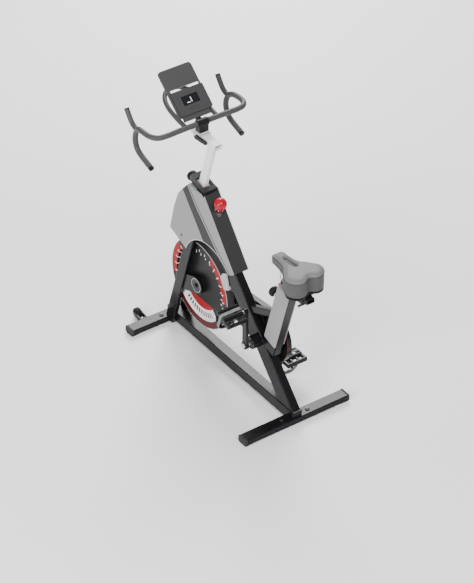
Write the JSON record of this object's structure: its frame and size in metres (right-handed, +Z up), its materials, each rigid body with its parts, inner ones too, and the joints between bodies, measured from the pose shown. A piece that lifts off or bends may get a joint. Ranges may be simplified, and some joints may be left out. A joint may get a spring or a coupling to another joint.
{
  "type": "indoor spin bike",
  "caption": "Indoor spin bike with a belt-driven flywheel, push-and-turn resistance knob, sliding saddle, sliding multi-grip handlebar and a tablet panel.",
  "frame": {"origin": "on the floor, below the middle of the overall box", "axes": "+X towards the handlebar, +Y to the rider's left, +Z up"},
  "size_m": [1.075, 0.52, 1.2592],
  "materials": {
    "frame_paint": "gloss",
    "cap_rubber": "matte",
    "bare_steel": "satin",
    "cover_silver": "satin",
    "dark_plastic": "satin",
    "bush_plastic": "matte",
    "belt_rubber": "matte",
    "bright_chrome": "polished",
    "dark_bolts": "satin",
    "wheel_iron": "satin",
    "pulley_metal": "satin",
    "pedal_black": "gloss",
    "strap_grey": "satin",
    "caliper_silver": "satin",
    "knob_red": "gloss",
    "post_silver": "satin",
    "seat_post_paint": "satin",
    "clamp_metal": "satin",
    "grip_grey": "satin",
    "panel_grey": "satin",
    "saddle_skin": "satin",
    "knob_black": "satin",
    "wheel_rubber": "matte"
  },
  "bodies": {
    "frame": {"base_rail": "frame_paint", "front_stabilizer": "frame_paint", "rear_stabilizer": "frame_paint", "stabilizer_caps": "cap_rubber", "main_tube": "frame_paint", "fork_legs": "frame_paint", "axle_brackets": "frame_paint", "bearings": "bare_steel", "head_sleeve": "frame_paint", "seat_tube": "frame_paint", "seat_tube_covers": "cover_silver", "frame_strut": "frame_paint", "bottom_bracket": "frame_paint", "shroud_left": "cover_silver", "shroud_right": "cover_silver", "shroud_spine": "dark_plastic", "head_collar": "dark_plastic", "post_bushes": "bush_plastic", "belt_guard_inner": "dark_plastic", "belt_guard_outer": "dark_plastic", "drive_belt": "belt_rubber", "knob_sockets": "bright_chrome", "wheel_brackets": "frame_paint", "frame_bolts": "dark_bolts"},
    "flywheel_set": {"flywheel": "wheel_iron", "flywheel_shaft": "bare_steel", "flywheel_pulley": "pulley_metal"},
    "crankset": {"crank_spindle": "bare_steel", "crank_left": "frame_paint", "crank_right": "frame_paint", "drive_pulley": "pulley_metal", "pedal_spindles": "bare_steel"},
    "left_pedal": {"pedal_left": "pedal_black", "toe_cage_left": "pedal_black", "toe_strap_left": "strap_grey"},
    "right_pedal": {"pedal_right": "pedal_black", "toe_cage_right": "pedal_black", "toe_strap_right": "strap_grey"},
    "brake": {"brake_caliper": "caliper_silver"},
    "stop_rod": {"brake_rod": "bright_chrome"},
    "tension_knob": {"resistance_knob": "knob_red"},
    "bar_post": {"handlebar_post": "post_silver"},
    "bar_set": {"bar_clamp": "clamp_metal", "handlebar": "grip_grey", "forearm_loop": "grip_grey", "bar_end_caps": "dark_plastic", "panel_bracket": "clamp_metal", "tablet_panel": "panel_grey", "console": "panel_grey"},
    "lever": {"clamp_lever": "dark_plastic"},
    "post_of_seat": {"seat_post": "seat_post_paint"},
    "saddle_set": {"saddle_clamp": "clamp_metal", "saddle_rails": "bright_chrome", "saddle_base": "dark_plastic", "saddle": "saddle_skin"},
    "saddle_lock": {"seat_handle": "bright_chrome"},
    "seat_pin": {"seat_pin_knob": "knob_black"},
    "bar_pin": {"bar_pin_knob": "knob_black"},
    "roller_left": {"wheel_left": "wheel_rubber"},
    "roller_right": {"wheel_right": "wheel_rubber"}
  },
  "joints": [
    {"name": "flywheel_spin", "type": "hinge", "parent": "frame", "child": "flywheel_set", "pos_m": [0.216, 0, 0.307], "axis": [0, 1, 0], "continuous": true},
    {"name": "crank_spin", "type": "hinge", "parent": "frame", "child": "crankset", "pos_m": [-0.208, 0, 0.284], "axis": [0, 1, 0], "continuous": true},
    {"name": "pedal_left_spin", "type": "hinge", "parent": "crankset", "child": "left_pedal", "pos_m": [-0.208, 0.15, 0.454], "axis": [0, 1, 0], "continuous": true},
    {"name": "pedal_right_spin", "type": "hinge", "parent": "crankset", "child": "right_pedal", "pos_m": [-0.208, -0.15, 0.114], "axis": [0, 1, 0], "continuous": true},
    {"name": "knob_push", "type": "slide", "parent": "frame", "child": "stop_rod", "axis": [0.2957, 0, -0.9553], "range_m": [0, 0.008], "stiffness_N_per_m": 600},
    {"name": "knob_turn", "type": "hinge", "parent": "stop_rod", "child": "tension_knob", "pos_m": [0.08567, 0, 0.77723], "axis": [-0.2957, 0, 0.9553], "range_deg": [0, 720]},
    {"name": "brake_swing", "type": "hinge", "parent": "frame", "child": "brake", "pos_m": [0, 0, 0.418], "axis": [0, 1, 0], "range_deg": [0, 6]},
    {"name": "bar_height", "type": "slide", "parent": "frame", "child": "bar_post", "axis": [-0.2957, 0, 0.9553], "range_m": [-0.1, 0.02]},
    {"name": "bar_reach", "type": "slide", "parent": "bar_post", "child": "bar_set", "axis": [1, 0, 0], "range_m": [-0.07, 0.02]},
    {"name": "lever_swing", "type": "hinge", "parent": "bar_set", "child": "lever", "pos_m": [0.212, 0.03, 1.043], "axis": [0, 1, 0], "range_deg": [-100, 20]},
    {"name": "seat_height", "type": "slide", "parent": "frame", "child": "post_of_seat", "axis": [-0.284, 0, 0.9588], "range_m": [0, 0.16]},
    {"name": "saddle_reach", "type": "slide", "parent": "post_of_seat", "child": "saddle_set", "axis": [1, 0, 0], "range_m": [-0.02, 0.03]},
    {"name": "saddle_lock_turn", "type": "hinge", "parent": "saddle_set", "child": "saddle_lock", "pos_m": [-0.49, 0, 0.632], "axis": [0, 0, 1], "range_deg": [0, 180]},
    {"name": "seat_pin_pull", "type": "slide", "parent": "frame", "child": "seat_pin", "axis": [0.9588, 0, 0.284], "range_m": [0, 0.01], "stiffness_N_per_m": 600},
    {"name": "bar_pin_pull", "type": "slide", "parent": "frame", "child": "bar_pin", "axis": [0.9553, 0, 0.2957], "range_m": [0, 0.01], "stiffness_N_per_m": 600},
    {"name": "roller_left_spin", "type": "hinge", "parent": "frame", "child": "roller_left", "pos_m": [0.513, 0.135, 0.026], "axis": [0, 1, 0], "continuous": true},
    {"name": "roller_right_spin", "type": "hinge", "parent": "frame", "child": "roller_right", "pos_m": [0.513, -0.135, 0.026], "axis": [0, 1, 0], "continuous": true}
  ],
  "couplings": [
    {"joint": "crank_spin", "follows": "flywheel_spin", "ratio": 0.3474},
    {"joint": "brake_swing", "follows": "knob_turn", "ratio": 0.008333}
  ]
}
